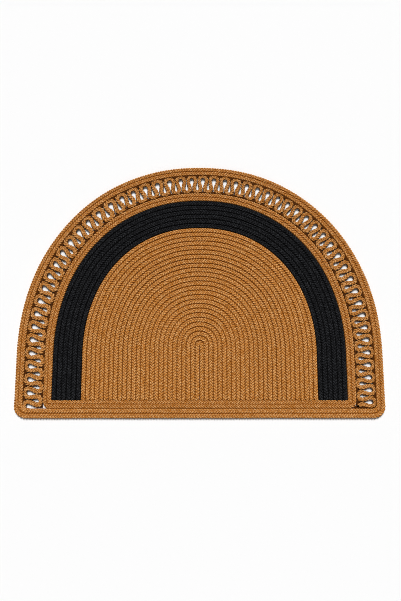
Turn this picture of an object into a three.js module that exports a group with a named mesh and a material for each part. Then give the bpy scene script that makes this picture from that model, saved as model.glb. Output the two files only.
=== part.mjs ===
import * as THREE from 'three';
import { mergeVertices } from 'three/addons/utils/BufferGeometryUtils.js';

// Half-round braided doormat lying flat, in millimetres. The straight edge faces -Y and
// the arch +Y. Heights below are measured from the straight edge before centring.
const thickness = 9;
const grooveDepth = 2.2;
const gap = 0.3;

const panel = { rows: 26, halfWidth: 287, rise: 321.5, seamTop: 175 };
const blackBand = { rows: 6, width: 71.2 };
const innerBorder = { rows: 2, width: 20.6, frontWidth: 19, cornerRadius: 14 };
const loopBand = { width: 48, cordWidth: 8.6, bendWidth: 7.4, footHeight: 39.5, clearance: 0.6 };
const outerRim = { rows: 2, width: 21, frontWidth: 23.5, cornerRadius: 27 };

// The arch is a superellipse: an exponent of 2 gives an ellipse, a larger one a squarer shoulder.
const springLine = 150;
// It falls a little towards the rim, where the arch is rounder.
const archExponent = 2.145;
const exponentFall = 0.0002;
const archSteps = 32;
const cornerSteps = 5;

// The serpentine's cord turns past the band's own way by this angle, so each loop is narrower at its neck.
const loopTurn = THREE.MathUtils.degToRad(109);
// Outer loops are a little wider than inner ones by this share, and pressed flatter at their tops.
const loopEase = 0.025;
const loopFlatness = [0.35, 0.2];
// Inner loops fall back by this share of a loop on the left leg; the lean fades out between two loops.
const loopLean = 0.16;
const leanFade = [13.8, 17.8];
// The cord starts and ends part of the way round the first and the last loop.
const loopStart = 0.1;
const loopEnd = 51.41;
const loopSteps = 14;
// Hand-laid spacing: a loop's number and the place of its outer turn along the band's middle line.
const loopPlaces = [
  [0, -10], [8, 245.5], [16, 506], [17, 544], [22, 702],
  [34, 1037.5], [38, 1156], [42, 1286], [50, 1528], [52, 1585],
];

const halfWidth = panel.halfWidth + blackBand.width + innerBorder.width + loopBand.width + outerRim.width;
const depth = springLine + panel.rise + halfWidth - panel.halfWidth;
const footLine = outerRim.frontWidth + innerBorder.frontWidth;

const tan = new THREE.MeshStandardMaterial({ color: 0xa66b35, roughness: 0.9, metalness: 0 });
const black = new THREE.MeshStandardMaterial({ color: 0x19191b, roughness: 0.85, metalness: 0 });

// An arch outside the panel's edge by a distance, or inside it by a share of the panel.
const archAt = (offset) => ({
  a: panel.halfWidth + offset,
  b: panel.rise + offset,
  spring: springLine,
  exponent: archExponent - exponentFall * offset,
});
function archInside(share) {
  const spring = panel.seamTop + (springLine - panel.seamTop) * share;
  const crown = panel.seamTop + (springLine + panel.rise - panel.seamTop) * share;
  return { a: panel.halfWidth * share, b: crown - spring, spring, exponent: archExponent };
}

function archPoints({ a, b, spring, exponent }) {
  const points = [];
  for (let i = 0; i <= archSteps; i++) {
    const angle = Math.PI * i / archSteps;
    const c = Math.cos(angle);
    const across = i * 2 === archSteps ? 0 : -Math.sign(c) * Math.abs(c) ** (2 / exponent);
    const up = i % archSteps === 0 ? 0 : Math.sin(angle) ** (2 / exponent);
    points.push([a * across, spring + b * up]);
  }
  return points;
}

const openLine = (arch, foot) => [[-arch.a, foot], ...archPoints(arch), [arch.a, foot]];

function closedLine(arch, foot, radius) {
  const points = archPoints(arch);
  for (const side of [1, -1]) {
    for (let i = 0; i <= cornerSteps; i++) {
      const turn = Math.PI / 2 * (side > 0 ? i : cornerSteps - i) / cornerSteps;
      points.push([
        side * (arch.a - radius + radius * Math.cos(turn)),
        foot + radius - radius * Math.sin(turn),
      ]);
    }
  }
  return points;
}

// Lines across a group of braids: a seam, two shoulders and the next seam for each braid.
function braidLines(rows, lineAt) {
  const lines = [];
  for (let row = 0; row < rows; row++) {
    for (const part of row === 0 ? [0, 0.27, 0.73, 1] : [0.27, 0.73, 1]) {
      const seam = part === 0 || part === 1;
      lines.push({ points: lineAt((row + part) / rows), height: thickness - (seam ? grooveDepth : 0) });
    }
  }
  return lines;
}

function solid(corners, material, name) {
  const loose = new THREE.BufferGeometry();
  loose.setAttribute('position', new THREE.Float32BufferAttribute(corners.flat(), 3));
  const merged = mergeVertices(loose, 1e-3);
  const kept = [];
  const index = merged.getIndex().array;
  for (let i = 0; i < index.length; i += 3) {
    const [p, q, r] = index.slice(i, i + 3);
    if (p !== q && q !== r && r !== p) kept.push(p, q, r);
  }
  merged.setIndex(kept);
  merged.translate(0, -depth / 2, 0);
  merged.computeVertexNormals();
  const mesh = new THREE.Mesh(merged, material);
  mesh.name = name;
  return mesh;
}

// A flat-bottomed sheet whose top rises and falls from line to line.
function ribbedSheet(lines, { closed, hasInnerEdge }) {
  const corners = [];
  const quad = (p, q, r, s) => corners.push(p, q, r, p, r, s);
  const count = lines[0].points.length;
  const last = lines.length - 1;
  const top = (i, j) => [...lines[j].points[i % count], lines[j].height];
  const low = (i, j) => [...lines[j].points[i % count], 0];
  for (let i = 0; i < (closed ? count : count - 1); i++) {
    for (let j = 0; j < last; j++) {
      quad(top(i, j), top(i + 1, j), top(i + 1, j + 1), top(i, j + 1));
    }
    quad(low(i, 0), low(i, last), low(i + 1, last), low(i + 1, 0));
    quad(top(i, last), top(i + 1, last), low(i + 1, last), low(i, last));
    if (hasInnerEdge) quad(top(i, 0), low(i, 0), low(i + 1, 0), top(i + 1, 0));
  }
  for (const end of closed ? [] : [0, count - 1]) {
    const edge = [low(end, last), low(end, 0), ...lines.map((line, j) => top(end, j))];
    if (end > 0) edge.reverse();
    const face = edge.map(([x, , z]) => new THREE.Vector2(x, z));
    for (const [p, q, r] of THREE.ShapeUtils.triangulateShape(face, [])) {
      corners.push(edge[p], edge[q], edge[r]);
    }
  }
  return corners;
}

// The line half-way across the loop band, from the left front corner over the crown to the right.
const loopMiddle = blackBand.width + innerBorder.width + loopBand.width / 2;
function bandMidline() {
  const shape = new THREE.CurvePath();
  const points = openLine(archAt(loopMiddle), loopBand.footHeight).map(([x, y]) => new THREE.Vector3(x, y, 0));
  shape.add(new THREE.LineCurve3(points[0], points[1]));
  shape.add(new THREE.CatmullRomCurve3(points.slice(1, -1), false, 'centripetal'));
  shape.add(new THREE.LineCurve3(points.at(-2), points.at(-1)));
  return shape;
}

// Half a loop, from its outer turn to its inner one: run along the band and fall across it, each from 0 to 1.
function halfLoop() {
  const fine = 300;
  const wave = [[0, 0]];
  for (let i = 0; i < fine; i++) {
    const turn = Math.PI * (i + 0.5) / fine;
    const heading = loopTurn * (Math.sin(turn) - loopEase * Math.sin(2 * turn));
    const [run, fall] = wave[i];
    wave.push([run + Math.cos(heading), fall + Math.sin(heading)]);
  }
  const [wholeRun, wholeFall] = wave[fine];
  return wave.map(([run, fall]) => {
    const share = fall / wholeFall;
    const flatness = THREE.MathUtils.lerp(loopFlatness[0], loopFlatness[1], share);
    return [run / wholeRun, share - flatness * Math.sin(2 * Math.PI * share) / (2 * Math.PI)];
  });
}

function placeOf(loop) {
  const next = Math.max(1, loopPlaces.findIndex(([number]) => number > loop));
  const [[before, from], [after, to]] = loopPlaces.slice(next - 1, next + 1);
  return from + (to - from) * (loop - before) / (after - before);
}

function serpentine() {
  const midline = bandMidline();
  const length = midline.getLength();
  const half = halfLoop();
  const swing = loopBand.width - 2 * loopBand.clearance - loopBand.bendWidth;
  const steps = Math.round((loopEnd - loopStart) * loopSteps);
  const path = [];
  for (let i = 0; i <= steps; i++) {
    const phase = 2 * (loopStart + (loopEnd - loopStart) * i / steps);
    const whole = Math.floor(phase);
    const part = phase - whole;
    // Steps are closer together at the turns.
    const closer = part - 0.35 * Math.sin(2 * Math.PI * part) / (2 * Math.PI);
    const outward = whole % 2 === 1;
    const [run, fall] = half[Math.round((outward ? 1 - closer : closer) * (half.length - 1))];
    const fade = 1 - THREE.MathUtils.clamp(THREE.MathUtils.inverseLerp(leanFade[0], leanFade[1], whole / 2), 0, 1);
    const place = placeOf((whole + (outward ? 1 - run : run)) / 2 - loopLean * fade * fall);
    const inside = THREE.MathUtils.clamp(place, 0, length);
    const tangent = midline.getTangentAt(inside / length);
    const at = midline.getPointAt(inside / length).addScaledVector(tangent, place - inside);
    at.addScaledVector(new THREE.Vector3(-tangent.y, tangent.x, 0), swing * (0.5 - fall));
    path.push({ at, width: THREE.MathUtils.lerp(loopBand.cordWidth, loopBand.bendWidth, (2 * fall - 1) ** 4) });
  }
  return path;
}

// A flat-bottomed cord swept along a path on the floor.
function cord(path, height) {
  const section = [[-0.36, 0], [0.36, 0], [0.5, 0.5], [0.27, 1], [-0.27, 1], [-0.5, 0.5]];
  const corners = [];
  const rings = path.map(({ at, width }, i) => {
    const ahead = path[Math.min(i + 1, path.length - 1)].at;
    const behind = path[Math.max(i - 1, 0)].at;
    const side = new THREE.Vector3(ahead.y - behind.y, behind.x - ahead.x, 0).normalize();
    return section.map(([w, h]) => at.clone().addScaledVector(side, w * width).setZ(h * height).toArray());
  });
  const sides = section.length;
  for (let i = 0; i + 1 < rings.length; i++) {
    for (let k = 0; k < sides; k++) {
      const next = (k + 1) % sides;
      const [p, q, r, s] = [rings[i][k], rings[i][next], rings[i + 1][next], rings[i + 1][k]];
      corners.push(p, r, q, p, s, r);
    }
  }
  for (let k = 1; k + 1 < sides; k++) {
    corners.push(rings[0][0], rings[0][k], rings[0][k + 1]);
    corners.push(rings.at(-1)[0], rings.at(-1)[k + 1], rings.at(-1)[k]);
  }
  return corners;
}

const mat = new THREE.Group();
mat.name = 'half_round_doormat';

mat.add(solid(
  ribbedSheet(
    braidLines(panel.rows, (share) => openLine(archInside(share * (1 - gap / 2 / panel.halfWidth)), footLine + gap)),
    { closed: false, hasInnerEdge: false },
  ), tan, 'centre_panel'));

mat.add(solid(
  ribbedSheet(
    braidLines(blackBand.rows, (share) => (
      openLine(archAt(gap / 2 + (blackBand.width - gap) * share), footLine + gap))),
    { closed: false, hasInnerEdge: true },
  ), black, 'black_band'));

mat.add(solid(
  ribbedSheet(
    braidLines(innerBorder.rows, (share) => closedLine(
      archAt(blackBand.width + gap / 2 + (innerBorder.width - gap) * share),
      footLine - (innerBorder.frontWidth - gap) * share,
      innerBorder.cornerRadius * share)),
    { closed: true, hasInnerEdge: true },
  ), tan, 'inner_border'));

mat.add(solid(cord(serpentine(), thickness), tan, 'loop_band'));

const rimStart = blackBand.width + innerBorder.width + loopBand.width;
const rimCorner = (share) => outerRim.cornerRadius - (outerRim.frontWidth - 9) * (1 - share);
mat.add(solid(
  ribbedSheet(
    braidLines(outerRim.rows, (share) => closedLine(
      archAt(rimStart + gap / 2 + (outerRim.width - gap / 2) * share),
      (outerRim.frontWidth - gap / 2) * (1 - share),
      rimCorner(share))),
    { closed: true, hasInnerEdge: true },
  ), tan, 'outer_rim'));

export default mat;
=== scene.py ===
import math

import bpy
import numpy as np
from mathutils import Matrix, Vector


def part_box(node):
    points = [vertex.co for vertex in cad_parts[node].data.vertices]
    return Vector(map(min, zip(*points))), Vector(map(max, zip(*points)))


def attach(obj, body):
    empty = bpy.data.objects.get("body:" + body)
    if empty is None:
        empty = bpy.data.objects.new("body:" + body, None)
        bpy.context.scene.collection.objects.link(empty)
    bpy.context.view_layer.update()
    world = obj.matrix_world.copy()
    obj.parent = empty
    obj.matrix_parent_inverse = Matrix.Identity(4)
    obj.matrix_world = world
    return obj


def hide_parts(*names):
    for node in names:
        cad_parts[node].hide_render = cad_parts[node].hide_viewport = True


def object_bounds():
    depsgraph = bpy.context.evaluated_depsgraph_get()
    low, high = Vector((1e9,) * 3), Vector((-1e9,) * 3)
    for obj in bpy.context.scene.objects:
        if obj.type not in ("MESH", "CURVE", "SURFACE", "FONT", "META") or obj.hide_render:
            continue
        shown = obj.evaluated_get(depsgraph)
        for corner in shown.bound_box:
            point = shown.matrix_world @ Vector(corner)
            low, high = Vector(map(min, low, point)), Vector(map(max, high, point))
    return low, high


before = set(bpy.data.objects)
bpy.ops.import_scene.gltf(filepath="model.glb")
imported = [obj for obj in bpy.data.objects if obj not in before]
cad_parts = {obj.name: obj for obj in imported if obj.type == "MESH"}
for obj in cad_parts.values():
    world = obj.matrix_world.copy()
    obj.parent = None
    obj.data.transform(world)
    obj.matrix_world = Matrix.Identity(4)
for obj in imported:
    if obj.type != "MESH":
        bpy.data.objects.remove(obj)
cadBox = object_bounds()
bpy.ops.object.select_all(action="DESELECT")
chance = np.random.default_rng(26)
print("frame loaded:", ", ".join(sorted(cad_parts)))

# All sizes are in metres. The photo is taken from nearly overhead, a little in front of the mat
photoCamera = {
    "target": (0.0022, -0.0296, 0.0),
    "distance": 1.212,
    "tilt": 8.0,  # degrees off the vertical
    "lens": 29.1,
    "sensor": 36.0,
}


def makeCamera():
    tilt = math.radians(photoCamera["tilt"])
    x, y, z = photoCamera["target"]
    y -= photoCamera["distance"] * math.sin(tilt)
    z += photoCamera["distance"] * math.cos(tilt)
    bpy.ops.object.camera_add(location=(x, y, z), rotation=(tilt, 0, 0))
    camera = bpy.context.object
    camera.name = "photoCamera"
    camera.data.lens = photoCamera["lens"]
    camera.data.sensor_width = photoCamera["sensor"]
    bpy.context.scene.camera = camera


makeCamera()
print("camera placed")

# Every row is a superellipse arch on two straight legs; heights are from the straight edge
archShape = {
    "springHeight": 0.150,
    "seamHeight": 0.175,  # top of the centre seam that the first row turns round
    "exponent": 2.145,  # 2 is an ellipse, more is squarer at the shoulders
    "exponentFall": 0.2,  # per metre out from the panel, so the rim is rounder
    "steps": 1200,
    "cornerSteps": 24,
}

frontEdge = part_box("outer_rim")[0].y
panelLow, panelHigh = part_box("centre_panel")
springLine = frontEdge + archShape["springHeight"]
seamTop = frontEdge + archShape["seamHeight"]
matThickness = cadBox[1].z


def archLine(halfWidth, crown, spring, exponent):
    turn = np.linspace(0, np.pi, archShape["steps"])
    across = -np.sign(np.cos(turn)) * np.abs(np.cos(turn)) ** (2 / exponent)
    up = np.abs(np.sin(turn)) ** (2 / exponent)
    return np.column_stack((halfWidth * across, spring + (crown - spring) * up))


def archInside(share):  # share of the way from the centre seam to the panel's edge
    spring = seamTop + (springLine - seamTop) * share
    crown = seamTop + (panelHigh.y - seamTop) * share
    return archLine(panelHigh.x * share, crown, spring, archShape["exponent"])


def archOutside(halfWidth):  # half-width of a line outside the panel
    offset = halfWidth - panelHigh.x
    exponent = archShape["exponent"] - archShape["exponentFall"] * offset
    return archLine(halfWidth, panelHigh.y + offset, springLine, exponent)


def withFeet(arch, foot):
    return np.vstack(([arch[0, 0], foot], arch, [arch[-1, 0], foot]))


def withFront(arch, foot, radius):  # a closed line with rounded front corners
    turn = np.linspace(0, np.pi / 2, archShape["cornerSteps"])
    cornerX = arch[-1, 0] - radius + radius * np.cos(turn)
    cornerY = foot + radius - radius * np.sin(turn)
    right = np.column_stack((cornerX, cornerY))
    left = np.column_stack((-cornerX, cornerY))[::-1]
    return np.vstack((arch, right, left, arch[:1]))


def runAlong(line):
    return np.concatenate(([0], np.cumsum(np.hypot(*np.diff(line, axis=0).T))))


def evenPoints(line, count):
    run = runAlong(line)
    at = np.linspace(0, run[-1], count + 1)
    return np.column_stack([np.interp(at, run, line[:, axis]) for axis in (0, 1)])


def headings(points, closed):
    if closed:
        ahead = np.roll(points, -1, axis=0) - np.roll(points, 1, axis=0)
    else:
        ahead = np.gradient(points, axis=0)
    return ahead / np.linalg.norm(ahead, axis=1, keepdims=True)


def leftOf(heading):
    return np.column_stack((-heading[:, 1], heading[:, 0]))


def evenWidth(width):
    return lambda points: np.full(len(points), width)


# A flat braid of three thick yarns
braidShape = {
    "period": 0.020,  # one yarn's way across and back
    "stepsPerPeriod": 10,
    "sides": 6,
    "swingShare": 0.63,  # of the half-width; the rest is the yarn's own radius
    "liftShare": 0.50,  # of the half-thickness
    "wobble": 0.00025,  # how far a hand-sewn row strays
    "crowding": 1.05,  # braids are pressed together, so each is wider than its place
    "strayWaves": (3, 7, 12),  # bends in a whole row
    "darkest": 0.38,  # share of the height where the painted shade in nooks is darkest
    "openness": 0.6,  # how dark the painted shade is in nooks inside a braid, next to those between braids
    "nookReach": (0.2, 0.9),  # shares of the half-width between which the painted shade deepens
    "openFrom": 0.7,  # share of the half-width where the painted shade starts to fade on an open side
    "openFade": 0.5,  # and over how much of it
}


# The three yarns of a braid along a line, each as rings of corners, with how much painted shade each
# corner gets in a nook; widthAt gives the braid's width at points, and an open left side has no
# neighbour, so its painted shade fades
def braidStrands(line, widthAt, closed, direction, openLeft=False, liftShare=braidShape["liftShare"]):
    period = braidShape["period"]
    length = runAlong(line)[-1]
    periods = round(length / period) if closed else length / period
    count = round(periods * braidShape["stepsPerPeriod"])
    points = evenPoints(line, count)
    along = np.linspace(0, 1, count + 1)
    if closed:
        points, along = points[:-1], along[:-1]
    side = leftOf(headings(points, closed))
    for waves in braidShape["strayWaves"]:
        stray = braidShape["wobble"] / 2 * np.sin(2 * np.pi * (waves * along + chance.random()))
        points = points + side * stray[:, None]
    heading = headings(points, closed)
    side = leftOf(heading)
    halfWidth = widthAt(points) / 2
    swing = halfWidth * braidShape["swingShare"]
    yarnWide = (halfWidth - swing)[:, None]
    lift = matThickness / 2 * liftShare
    yarnHigh = matThickness / 2 - lift
    turnRate = 2 * np.pi * periods * direction
    start = chance.random() * 2 * np.pi
    turn = 2 * np.pi * np.arange(braidShape["sides"]) / braidShape["sides"]
    strands = []
    for yarn in range(3):
        phase = turnRate * along + start + 2 * np.pi * yarn / 3
        centre = np.column_stack((points + side * (swing * np.sin(phase))[:, None],
                                  matThickness / 2 + lift * np.sin(2 * phase)))
        slant = swing * np.cos(phase) * turnRate / length
        climb = 2 * lift * np.cos(2 * phase) * turnRate / length
        flat = heading + side * slant[:, None]
        flat /= np.linalg.norm(flat, axis=1, keepdims=True)
        steep = climb / np.hypot(1, slant)
        level = 1 / np.hypot(1, steep)
        across = np.column_stack((leftOf(flat), np.zeros(len(flat))))
        upward = np.column_stack((-flat * (steep * level)[:, None], level))
        rings = (centre[:, None]
                 + across[:, None] * (yarnWide * np.cos(turn))[:, :, None]
                 + upward[:, None] * (yarnHigh * np.sin(turn))[None, :, None])
        # Painted shade: corners low on the yarn and at the braid's edges are darkened towards the Shade
        # colour
        darkest = matThickness * braidShape["darkest"]
        shadeDepth = np.interp(rings[:, :, 2], (0, darkest, matThickness), (0, 1, 0))
        reach = ((swing * np.sin(phase))[:, None] + yarnWide * np.cos(turn)) / halfWidth[:, None]
        shadeDepth = shadeDepth * np.interp(np.abs(reach), braidShape["nookReach"], (braidShape["openness"], 1))
        if openLeft:
            shadeDepth = shadeDepth * np.clip(1 - (reach - braidShape["openFrom"]) / braidShape["openFade"], 0, 1)
        strands.append((rings, shadeDepth, closed))
    return strands


# The stitching that joins a group's rows, as one thin web at mid-height, coloured all over in the painted
# shade that darkens the grooves between rows
webShape = {"steps": 160, "low": 0.0036, "high": 0.0052}


def webBetween(inner, outer, closed):
    inner = evenPoints(inner, webShape["steps"])
    outer = evenPoints(outer, webShape["steps"])
    if closed:
        inner, outer = inner[:-1], outer[:-1]
    corners = [(outer, "high"), (inner, "high"), (inner, "low"), (outer, "low")]
    rings = [np.column_stack((line, np.full(len(line), webShape[level]))) for line, level in corners]
    rings = np.stack(rings, axis=1)
    # Webs take the full painted shade
    return rings, np.ones(rings.shape[:2]), closed


# One mesh from strands; strandMap runs along and round each yarn, OFBake gives each step its own cell
yarnMap = {"perMetre": 100, "startSpread": 100, "cellShape": 5.4, "cellMargin": 0.03, "capReach": 0.4}


def quadsOf(count, sides, closed):
    here = np.arange(count if closed else count - 1)[:, None] * sides
    there = (here + sides) % (count * sides)
    ring = np.arange(sides)
    ahead = (ring + 1) % sides
    return np.stack((here + ring, here + ahead, there + ahead, there + ring), axis=-1)


def makePiece(name, strands, material):
    steps = [len(rings) - (0 if closed else 1) for rings, shadeDepth, closed in strands]
    cells = sum(steps) + 2 * sum(not closed for rings, shadeDepth, closed in strands)
    perLine = math.ceil(math.sqrt(cells * yarnMap["cellShape"]))
    lineCount = math.ceil(cells / perLine)

    def bakeSpot(cell, across, around):
        around = yarnMap["cellMargin"] + around * (1 - 2 * yarnMap["cellMargin"])
        u = (cell % perLine + across) / perLine
        v = (cell // perLine + around) / lineCount
        return np.stack(np.broadcast_arrays(u, v), axis=-1)

    places, quads, quadYarn, quadBake, caps, capYarn, capBake = [], [], [], [], [], [], []
    base = cell = 0
    for (rings, shadeDepth, closed), stepCount in zip(strands, steps):
        count, sides = rings.shape[:2]
        places.append(rings.reshape(-1, 3))
        quads.append(base + quadsOf(count, sides, closed).reshape(-1, 4))
        hop = np.linalg.norm(np.diff(rings.mean(axis=1), axis=0), axis=1).mean()
        start = chance.random() * yarnMap["startSpread"]
        run = start + np.arange(stepCount)[:, None, None] * hop * yarnMap["perMetre"]
        ahead = np.array([0, 0, 1, 1])
        turned = np.array([0, 1, 1, 0])
        around = (np.arange(sides)[None, :, None] + turned) / sides
        run = run + ahead * hop * yarnMap["perMetre"]
        quadYarn.append(np.stack(np.broadcast_arrays(run, around), axis=-1).reshape(-1, 2))
        own = cell + np.arange(stepCount)[:, None, None]
        quadBake.append(bakeSpot(own, ahead, around).reshape(-1, 2))
        cell += stepCount
        if not closed:
            ring = np.arange(sides)
            spin = 2 * np.pi * ring / sides
            across = 0.5 + yarnMap["capReach"] * np.cos(spin)
            upward = 0.5 + yarnMap["capReach"] * np.sin(spin)
            for end in (base + ring[::-1], base + (count - 1) * sides + ring):
                caps.append(end.tolist())
                capYarn.append(np.column_stack((spin, spin)))
                capBake.append(bakeSpot(cell, across, upward))
                cell += 1
        base += count * sides

    mesh = bpy.data.meshes.new(name)
    quads = np.vstack(quads)
    mesh.from_pydata(np.vstack(places), [], quads.tolist() + caps)
    smooth = np.arange(len(mesh.polygons)) < len(quads)
    mesh.polygons.foreach_set("use_smooth", smooth)
    for layer, spots in (("strandMap", quadYarn + capYarn), ("OFBake", quadBake + capBake)):
        mesh.uv_layers.new(name=layer).data.foreach_set("uv", np.vstack(spots).astype(np.float32).ravel())
    # Each corner's painted shade depth, read by the yarn material
    depths = np.concatenate([shadeDepth.ravel() for rings, shadeDepth, closed in strands])
    nook = mesh.attributes.new("paintedShadeDepth", "FLOAT", "POINT")
    nook.data.foreach_set("value", depths.astype(np.float32))
    mesh.materials.append(material)
    mesh.validate()
    piece = bpy.data.objects.new(name, mesh)
    bpy.context.collection.objects.link(piece)
    print(f"{name}: {len(strands)} strands, {len(mesh.polygons)} faces")
    return piece


# Shared yarn effect: heathered colour, painted shade in nooks, twisted fibres and their height. Each
# noise has its scales along and round the yarn and its detail; each blend has the two values between
# which it changes
yarnEffect = {
    "twist": 2.4,  # radians for each centimetre
    "fibre": (1.2, 5.0, 3),
    "heather": (1.7, 0.9, 2),
    "fleck": (2.3, 1.3, 1),
    "frayed": 0.35,  # how far fibres break up the edges of blends
    "middleBlend": (0.40, 0.50),
    "paleBlend": (0.50, 0.60),
    "shadeBlend": (0.15, 0.70),
    "heatherHeight": 0.4,
    "roughest": 0.98,
    "fibreShine": 0.3,
}


def makeYarnGroup():
    group = bpy.data.node_groups.new("twistedYarn", "ShaderNodeTree")
    face = group.interface
    face.new_socket("Strand", in_out="INPUT", socket_type="NodeSocketVector")
    for name in ("Dark", "Middle", "Pale", "Shade"):
        face.new_socket(name, in_out="INPUT", socket_type="NodeSocketColor")
    face.new_socket("PaintedShade", in_out="INPUT", socket_type="NodeSocketFloat")
    face.new_socket("Colour", in_out="OUTPUT", socket_type="NodeSocketColor")
    face.new_socket("Height", in_out="OUTPUT", socket_type="NodeSocketFloat")
    face.new_socket("Roughness", in_out="OUTPUT", socket_type="NodeSocketFloat")
    nodes, link = group.nodes, group.links.new
    source = nodes.new("NodeGroupInput")
    result = nodes.new("NodeGroupOutput")

    def math2(operation, a, b):
        node = nodes.new("ShaderNodeMath")
        node.operation = operation
        for socket, value in zip(node.inputs, (a, b)):
            if isinstance(value, (int, float)):
                socket.default_value = value
            else:
                link(value, socket)
        return node.outputs[0]

    def noise(along, round_, detail):  # finer along the yarn or round it
        spot = nodes.new("ShaderNodeCombineXYZ")
        link(math2("MULTIPLY", strand.outputs["X"], along), spot.inputs["X"])
        link(math2("MULTIPLY", cosine, round_), spot.inputs["Y"])
        link(math2("MULTIPLY", sine, round_), spot.inputs["Z"])
        node = nodes.new("ShaderNodeTexNoise")
        node.inputs["Scale"].default_value = 1
        node.inputs["Detail"].default_value = detail
        link(spot.outputs[0], node.inputs["Vector"])
        return node.outputs["Fac"]

    def mask(value, low, high):
        node = nodes.new("ShaderNodeMapRange")
        node.interpolation_type = "SMOOTHSTEP"
        node.inputs["From Min"].default_value = low
        node.inputs["From Max"].default_value = high
        link(value, node.inputs["Value"])
        return node.outputs["Result"]

    def mix(factor, a, b):
        node = nodes.new("ShaderNodeMix")
        node.data_type = "RGBA"
        link(factor, node.inputs["Factor"])
        link(a, node.inputs["A"])
        link(b, node.inputs["B"])
        return node.outputs["Result"]

    strand = nodes.new("ShaderNodeSeparateXYZ")
    link(source.outputs["Strand"], strand.inputs[0])
    twist = math2("MULTIPLY", strand.outputs["X"], yarnEffect["twist"])
    angle = math2("ADD", math2("MULTIPLY", strand.outputs["Y"], 2 * math.pi), twist)
    cosine = math2("COSINE", angle, 0)
    sine = math2("SINE", angle, 0)
    fibre, heather, fleck = (noise(*yarnEffect[name]) for name in ("fibre", "heather", "fleck"))
    frayed = math2("MULTIPLY", math2("SUBTRACT", fibre, 0.5), yarnEffect["frayed"])
    colour = source.outputs["Dark"]
    # The last blend mixes in the Shade colour as painted shade, by how deep each corner lies in a nook
    for tone, value in (("Middle", math2("ADD", heather, frayed)),
                        ("Pale", math2("ADD", fleck, frayed)),
                        ("Shade", source.outputs["PaintedShade"])):
        blend = mask(value, *yarnEffect[tone.lower() + "Blend"])
        colour = mix(blend, colour, source.outputs[tone])
    link(colour, result.inputs["Colour"])
    height = math2("ADD", fibre, math2("MULTIPLY", heather, yarnEffect["heatherHeight"]))
    link(height, result.inputs["Height"])
    shine = math2("MULTIPLY", fibre, yarnEffect["fibreShine"])
    link(math2("SUBTRACT", yarnEffect["roughest"], shine), result.inputs["Roughness"])
    return group


# Yarn colours, linear: dark and main tones, pale flecks, and the painted shade in nooks
tanYarn = {
    "Dark": (0.36, 0.119, 0.012),
    "Middle": (0.54, 0.213, 0.038),
    "Pale": (0.73, 0.40, 0.150),
    "Shade": (0.24, 0.071, 0.006),
}
borderYarn = {
    "Dark": (0.34, 0.112, 0.012),
    "Middle": (0.50, 0.196, 0.036),
    "Pale": (0.69, 0.37, 0.140),
    "Shade": (0.33, 0.108, 0.012),
}
# The loops' painted shade is much darker, for their lower sides in eyes, notches and where loops touch
loopYarn = {**borderYarn, "Shade": (0.07, 0.020, 0.002)}
blackYarn = {
    "Dark": (0.0035, 0.0035, 0.0044),
    "Middle": (0.008, 0.008, 0.009),
    "Pale": (0.027, 0.028, 0.031),
    "Shade": (0.0014, 0.0014, 0.0017),
}
yarnFinish = {"bump": 0.35, "bumpDepth": 0.0012, "specular": 0.08}


def makeYarn(name, yarn):
    material = bpy.data.materials.new(name)
    material.use_nodes = True
    nodes, link = material.node_tree.nodes, material.node_tree.links.new
    surface = nodes["Principled BSDF"]
    surface.inputs["Specular IOR Level"].default_value = yarnFinish["specular"]
    where = nodes.new("ShaderNodeUVMap")
    where.uv_map = "strandMap"
    effect = nodes.new("ShaderNodeGroup")
    effect.node_tree = yarnGroup
    link(where.outputs["UV"], effect.inputs["Strand"])
    for tone, colour in yarn.items():
        effect.inputs[tone].default_value = (*colour, 1)
    # Painted shade depth from the mesh, darkening nooks towards the Shade colour
    nook = nodes.new("ShaderNodeAttribute")
    nook.attribute_name = "paintedShadeDepth"
    link(nook.outputs["Fac"], effect.inputs["PaintedShade"])
    bump = nodes.new("ShaderNodeBump")
    bump.inputs["Strength"].default_value = yarnFinish["bump"]
    bump.inputs["Distance"].default_value = yarnFinish["bumpDepth"]
    link(effect.outputs["Height"], bump.inputs["Height"])
    link(effect.outputs["Colour"], surface.inputs["Base Color"])
    link(effect.outputs["Roughness"], surface.inputs["Roughness"])
    link(bump.outputs["Normal"], surface.inputs["Normal"])
    return material


yarnGroup = makeYarnGroup()
panelTan = makeYarn("panelTan", tanYarn)
borderTan = makeYarn("borderTan", borderYarn)
loopTan = makeYarn("loopTan", loopYarn)
stripeBlack = makeYarn("stripeBlack", blackYarn)
print("yarn materials made")


def finishPiece(piece, node):
    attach(piece, "root")
    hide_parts(node)


# Centre panel: U-shaped rows sewn back and forth, so each row's plait points the other way
panelPlan = {"rows": 26, "innerRows": 17, "webStart": 0.0005}


def panelRows(first, last):
    strands = []
    width = panelHigh.x / panelPlan["rows"] * braidShape["crowding"]
    for row in range(first, last):
        line = withFeet(archInside((row + 0.5) / panelPlan["rows"]), panelLow.y)
        strands += braidStrands(line, evenWidth(width), False, (-1) ** row)
    start = max(first / panelPlan["rows"], panelPlan["webStart"])
    inner = withFeet(archInside(start), panelLow.y)
    outer = withFeet(archInside(last / panelPlan["rows"]), panelLow.y)
    strands.append(webBetween(inner, outer, False))
    return strands


for name, first, last in (("panelInnerRows", 0, panelPlan["innerRows"]),
                          ("panelOuterRows", panelPlan["innerRows"], panelPlan["rows"])):
    finishPiece(makePiece(name, panelRows(first, last), panelTan), "centre_panel")

# Black stripe: rows round the panel, cut square at their feet
stripePlan = {"rows": 6}


def stripeRows():
    strands = []
    low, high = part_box("black_band")
    place = (high.x - panelHigh.x) / stripePlan["rows"]
    for row in range(stripePlan["rows"]):
        line = withFeet(archOutside(panelHigh.x + place * (row + 0.5)), low.y)
        strands += braidStrands(line, evenWidth(place * braidShape["crowding"]), False, (-1) ** row)
    inner, outer = (withFeet(archOutside(x), low.y) for x in (panelHigh.x, high.x))
    strands.append(webBetween(inner, outer, False))
    return strands


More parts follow.
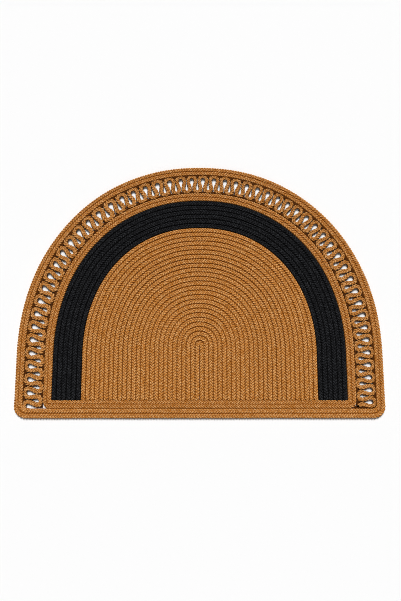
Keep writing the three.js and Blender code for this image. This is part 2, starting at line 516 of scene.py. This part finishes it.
finishPiece(makePiece("blackStripeRows", stripeRows(), stripeBlack), "black_band")

# Closed rings of braid: the border round the stripe and the rim round the loops
borderPlan = {
    "rows": 2,
    "width": 0.0206,
    "frontWidth": 0.019,
    "widthChange": 0.02,  # length of leg over which the front's width gives way to the arch's
    "innerCorner": 0.0,
    "outerCorner": 0.014,
    "web": (0.02, 0.95),  # shares of the width from the inner edge
}
rimPlan = {
    "rows": 2,
    "width": 0.021,
    "frontWidth": 0.0235,
    "widthChange": 0.02,
    "innerCorner": 0.0125,
    "outerCorner": 0.027,
    "web": (0.02, 0.8),
}


def ringRows(node, plan):
    low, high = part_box(node)

    def lineAt(share):
        inward = 1 - share
        corner = plan["innerCorner"] * inward + plan["outerCorner"] * share
        arch = archOutside(high.x - plan["width"] * inward)
        return withFront(arch, low.y + plan["frontWidth"] * inward, corner)

    def widthAt(points):
        corner = low.y + plan["frontWidth"]
        change = (corner, corner + plan["widthChange"])
        width = np.interp(points[:, 1], change, (plan["frontWidth"], plan["width"]))
        return width / plan["rows"] * braidShape["crowding"]

    strands = []
    for row in range(plan["rows"]):
        line = lineAt((row + 0.5) / plan["rows"])
        outermost = row == plan["rows"] - 1
        strands += braidStrands(line, widthAt, True, (-1) ** row, outermost)
    inner, outer = (lineAt(share) for share in plan["web"])
    strands.append(webBetween(inner, outer, True))
    return strands


for name, node, plan in (("innerBorderRows", "inner_border", borderPlan),
                         ("outerRimRows", "outer_rim", rimPlan)):
    finishPiece(makePiece(name, ringRows(node, plan), borderTan), node)

# Loop band: one braid laid in a serpentine of upright loops
loopPlan = {
    "loops": 52,
    "bandWidth": 0.048,
    "clearance": 0.0006,  # between the solid cord and the border or the rim
    "bendWidth": 0.0074,  # of the solid cord at its turns
    "footHeight": 0.0395,  # from the straight edge to where the band's middle line starts
    "turn": 109.0,  # degrees that the cord turns past the band's own way
    "ease": 0.025,  # outer loops are wider than inner ones
    "flatness": (0.35, 0.20),  # how flat loops are pressed against the rim and the border
    "lean": 0.16,  # of a loop, how far inner loops fall back on the left leg
    "leanEnd": (13.8, 17.8),  # loops between which the lean fades out
    "overrun": (0.14, 0.45),  # of a loop, before the first outer turn and past the last
    "halfSteps": 300,
    "liftShare": 0.36,  # of the half-thickness
    # The seams are stitching, and as dark sheets in the painted shade they also darken the notches
    # between loops
    "seams": ((0.0, 0.0055), (0.0420, 0.0480)),  # across the band from the border
    "seamFoot": 0.0265,  # from the straight edge
    "lastSeam": ((-0.006, 0.0480), (0.0225, 0.0300)),  # across the band, and from the straight edge
    # from outer turns at 0 to inner ones at 1, the braid's width as a share of a loop's place
    "fill": ((0, 0.27), (0.05, 0.34), (0.1, 0.38), (0.2, 0.355), (0.32, 0.35), (0.5, 0.39),
             (0.62, 0.405), (0.75, 0.40), (0.9, 0.44), (0.96, 0.41), (1, 0.34)),
    # hand-laid spacing: a loop's number and the place of its outer turn along the middle line
    "places": ((-1, -0.042), (0, -0.010), (8, 0.2455), (16, 0.506), (17, 0.544), (22, 0.702),
               (34, 1.0375), (38, 1.156), (42, 1.286), (50, 1.528), (52, 1.585)),
}


# Half a loop from outer turn to inner turn: run along the band and fall across it, each from 0 to 1
def halfLoop():
    turn = np.pi * (np.arange(loopPlan["halfSteps"]) + 0.5) / loopPlan["halfSteps"]
    heading = math.radians(loopPlan["turn"]) * (np.sin(turn) - loopPlan["ease"] * np.sin(2 * turn))
    run, fall = (np.concatenate(([0], np.cumsum(step))) for step in (np.cos(heading), np.sin(heading)))
    run, fall = run / run[-1], fall / fall[-1]
    flatness = np.interp(fall, (0, 1), loopPlan["flatness"])
    return run, fall - flatness * np.sin(2 * np.pi * fall) / (2 * np.pi)


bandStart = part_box("inner_border")[1].x
bandFoot = frontEdge + loopPlan["footHeight"]
bandMiddle = withFeet(archOutside(bandStart + loopPlan["bandWidth"] / 2), bandFoot)


# Points of the loop band, from a loop's number along it and a fall across it, as in half a loop
def bandPoints(loop, fall):
    middleRun = runAlong(bandMiddle)
    place = np.interp(loop, *np.transpose(loopPlan["places"]))
    inside = np.clip(place, 0, middleRun[-1])
    at, ahead = (np.column_stack([np.interp(inside, middleRun, line[:, axis]) for axis in (0, 1)])
                 for line in (bandMiddle, headings(bandMiddle, False)))
    swing = loopPlan["bandWidth"] - 2 * loopPlan["clearance"] - loopPlan["bendWidth"]
    return at + ahead * (place - inside)[:, None] + leftOf(ahead) * (swing * (0.5 - fall))[:, None]


# The serpentine's line, and the braid's width along it
def serpentine():
    run, fall = halfLoop()
    loops, falls = [], []
    for half in range(-1, 2 * loopPlan["loops"] - 1):
        fade = np.interp(half / 2, loopPlan["leanEnd"], (1, 0))
        halfRun, halfFall = (1 - run[::-1], fall[::-1]) if half % 2 else (run, fall)
        loops.append((half + halfRun) / 2 - loopPlan["lean"] * fade * halfFall)
        falls.append(halfFall)
    first, last = (round((0.5 - overrun) * 2 * loopPlan["halfSteps"]) for overrun in loopPlan["overrun"])
    loop, fall = (np.concatenate(parts)[first:-last] for parts in (loops, falls))
    pitch = np.linalg.norm(bandPoints(loop + 0.5, fall) - bandPoints(loop - 0.5, fall), axis=1)
    return bandPoints(loop, fall), np.interp(fall, *np.transpose(loopPlan["fill"])) * pitch


def loopStrands():
    line, width = serpentine()
    share = runAlong(line)
    share /= share[-1]

    def widthAt(points):
        return np.interp(np.linspace(0, 1, len(points)), share, width)

    strands = braidStrands(line, widthAt, False, 1, liftShare=loopPlan["liftShare"])
    # The seams that hold the loops to the border and to the rim, and the last loop to the front, in the
    # full painted shade; they also darken the notches between loops as painted shade
    foot = frontEdge + loopPlan["seamFoot"]
    for start, end in loopPlan["seams"]:
        inner, outer = (withFeet(archOutside(bandStart + offset), foot) for offset in (start, end))
        strands.append(webBetween(inner, outer, False))
    offsets, heights = loopPlan["lastSeam"]
    ends = bandStart + np.array(offsets)
    low, high = (np.column_stack((ends, np.full(len(ends), frontEdge + height))) for height in heights)
    strands.append(webBetween(low, high, False))
    return strands


finishPiece(makePiece("loopBandBraid", loopStrands(), loopTan), "loop_band")

# White floor, soft key light from behind and a weak fill light from the front
studio = {
    "floorSize": 8.0,
    "floorColour": (0.92, 0.92, 0.92),
    "floorRoughness": 0.9,
    "floorSpecular": 0.1,
    "skyStrength": 0.05,
    "filterWidth": 0.9,  # pixels
    "keyStrength": 3.6,
    "keySoftness": 26.0,  # degrees, as are the tilts
    "keyTilt": -36.0,
    "fillStrength": 0.5,
    "fillSoftness": 60.0,
    "fillTilt": 55.0,
}


def makeStudio():
    bpy.ops.mesh.primitive_plane_add(size=studio["floorSize"])
    floor = bpy.context.object
    floor.name = "paleFloor"
    paint = bpy.data.materials.new("floorPaint")
    paint.use_nodes = True
    surface = paint.node_tree.nodes["Principled BSDF"]
    surface.inputs["Base Color"].default_value = (*studio["floorColour"], 1)
    surface.inputs["Roughness"].default_value = studio["floorRoughness"]
    surface.inputs["Specular IOR Level"].default_value = studio["floorSpecular"]
    floor.data.materials.append(paint)
    for light in ("key", "fill"):
        bpy.ops.object.light_add(type="SUN", rotation=(math.radians(studio[light + "Tilt"]), 0, 0))
        bpy.context.object.name = light + "Light"
        bpy.context.object.data.energy = studio[light + "Strength"]
        bpy.context.object.data.angle = math.radians(studio[light + "Softness"])
    sky = bpy.data.worlds.new("softSky")
    sky.use_nodes = True
    sky.node_tree.nodes["Background"].inputs["Color"].default_value = (1, 1, 1, 1)
    sky.node_tree.nodes["Background"].inputs["Strength"].default_value = studio["skyStrength"]
    bpy.context.scene.world = sky
    bpy.context.scene.view_settings.view_transform = "Standard"
    bpy.context.scene.cycles.filter_width = studio["filterWidth"]
    # With a prefilter, denoising smooths out the plait, which is a few pixels wide
    bpy.context.scene.cycles.denoising_prefilter = "NONE"


makeStudio()
print("studio lit")
